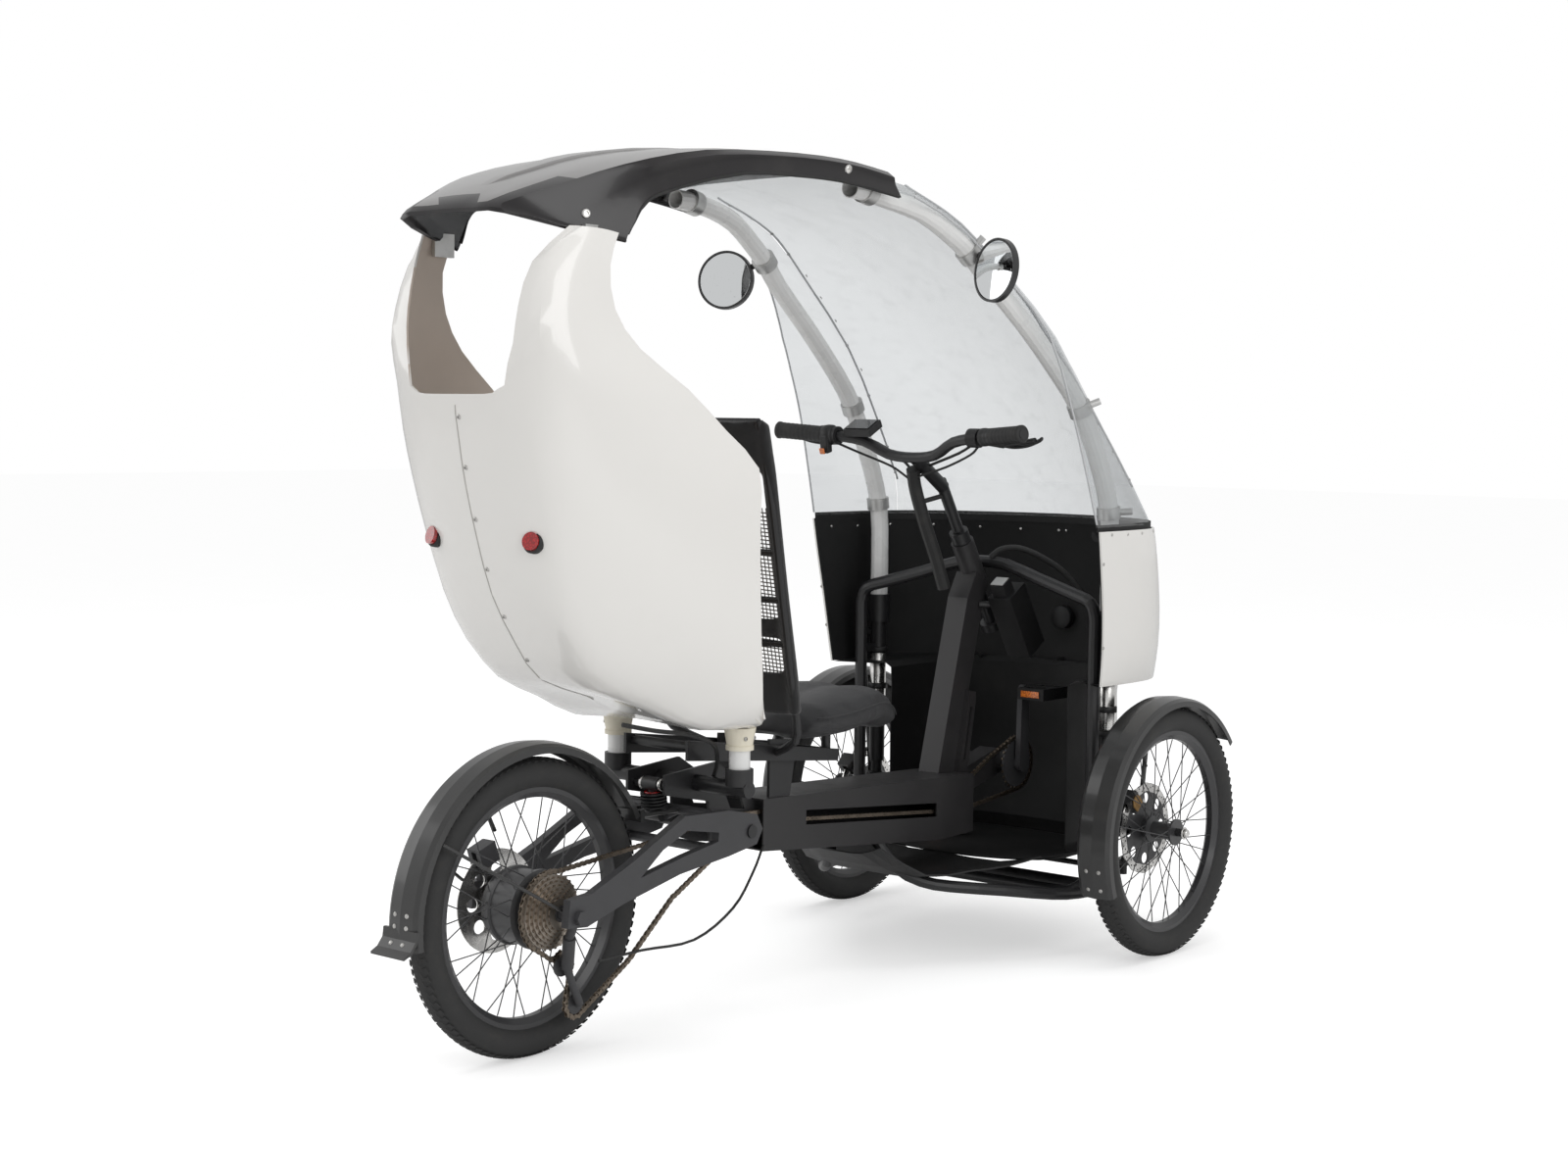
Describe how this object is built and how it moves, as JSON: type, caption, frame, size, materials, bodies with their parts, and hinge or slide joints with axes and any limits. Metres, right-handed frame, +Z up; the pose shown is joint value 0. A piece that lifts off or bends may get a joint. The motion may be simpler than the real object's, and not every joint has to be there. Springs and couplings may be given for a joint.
{
  "type": "velomobile",
  "caption": "Pedal tricycle with a box beam frame, reclined seat, clear wrap-round windscreen and a white shell behind the rider.",
  "frame": {"origin": "on the ground under the middle of the vehicle", "axes": "+X forward, +Y to the rider's left, +Z up"},
  "size_m": [1.9832, 0.908, 1.5514],
  "materials": {
    "frame_black": "satin",
    "satin_grey": "satin",
    "black_plastic": "satin",
    "steel": "brushed",
    "vinyl": "satin",
    "shell_white": "gloss",
    "roof_charcoal": "gloss",
    "tube_white": "gloss",
    "cream": "satin",
    "clamp_grey": "satin",
    "lens_red": "gloss",
    "lens_clear": "gloss",
    "clear": "gloss",
    "mirror_black": "gloss",
    "tyre": "matte",
    "rim_black": "satin",
    "hub_black": "satin"
  },
  "bodies": {
    "frame": {"main_beam": "frame_black", "mast": "frame_black", "front_arch": "frame_black", "floor_frame": "frame_black", "floor_tray": "black_plastic", "rear_frame": "frame_black", "swing_arm": "satin_grey", "rear_shock": "steel", "rear_mudguard": "black_plastic", "rear_caliper": "satin_grey", "derailleur": "satin_grey", "chain": "steel", "front_struts": "frame_black", "seat_base": "frame_black", "seat_cushions": "vinyl", "seat_frame": "satin_grey", "battery": "black_plastic", "frame_cables": "black_plastic", "rear_shell_left": "shell_white", "rear_shell_right": "shell_white", "tail_lights": "lens_red", "headlight": "lens_clear", "shell_supports": "cream", "roof": "roof_charcoal", "roof_tubes": "tube_white", "tube_clamps": "clamp_grey", "windscreen": "clear", "side_screens": "clear", "nose_cowl": "shell_white", "nose_liner": "black_plastic", "wiper": "black_plastic", "mirrors": "mirror_black"},
    "handlebar": {"handlebar": "frame_black", "steering_column": "frame_black", "bar_controls": "black_plastic", "bar_cables": "black_plastic"},
    "knuckle_left": {"knuckle_left": "frame_black", "mudguard_left": "black_plastic"},
    "knuckle_right": {"knuckle_right": "frame_black", "mudguard_right": "black_plastic"},
    "tie_rod": {"tie_rod": "steel"},
    "front_left_wheel": {"front_left_tyre": "tyre", "front_left_rim": "rim_black", "front_left_hub": "hub_black"},
    "front_right_wheel": {"front_right_tyre": "tyre", "front_right_rim": "rim_black", "front_right_hub": "hub_black"},
    "rear_wheel": {"rear_tyre": "tyre", "rear_rim": "rim_black", "hub_motor": "hub_black", "rear_disc": "steel", "cassette": "steel"},
    "cranks": {"crankset": "satin_grey", "pedals": "black_plastic"}
  },
  "joints": [
    {"name": "handlebar_steer", "type": "hinge", "parent": "frame", "child": "handlebar", "pos_m": [0.625, 0, 0.752], "axis": [-0.5306, 0, 0.8476], "range_deg": [-25, 25]},
    {"name": "steer_left", "type": "hinge", "parent": "frame", "child": "knuckle_left", "pos_m": [0.679, 0.294, 0.255], "axis": [0, 0, 1], "range_deg": [-25, 25]},
    {"name": "steer_right", "type": "hinge", "parent": "frame", "child": "knuckle_right", "pos_m": [0.679, -0.294, 0.255], "axis": [0, 0, 1], "range_deg": [-25, 25]},
    {"name": "tie_rod_pivot", "type": "hinge", "parent": "knuckle_left", "child": "tie_rod", "pos_m": [0.755, 0.294, 0.172], "axis": [0, 0, 1], "range_deg": [-25, 25]},
    {"name": "front_left_spin", "type": "hinge", "parent": "knuckle_left", "child": "front_left_wheel", "pos_m": [0.729, 0.404, 0.255], "axis": [0, 1, 0], "continuous": true},
    {"name": "front_right_spin", "type": "hinge", "parent": "knuckle_right", "child": "front_right_wheel", "pos_m": [0.729, -0.404, 0.255], "axis": [0, 1, 0], "continuous": true},
    {"name": "rear_spin", "type": "hinge", "parent": "frame", "child": "rear_wheel", "pos_m": [-0.681, 0, 0.255], "axis": [0, 1, 0], "continuous": true},
    {"name": "crank_spin", "type": "hinge", "parent": "frame", "child": "cranks", "pos_m": [0.704, 0, 0.36], "axis": [0, 1, 0], "continuous": true}
  ],
  "couplings": [
    {"joint": "steer_left", "follows": "handlebar_steer", "ratio": 1},
    {"joint": "steer_right", "follows": "handlebar_steer", "ratio": 1},
    {"joint": "tie_rod_pivot", "follows": "handlebar_steer", "ratio": -1}
  ]
}
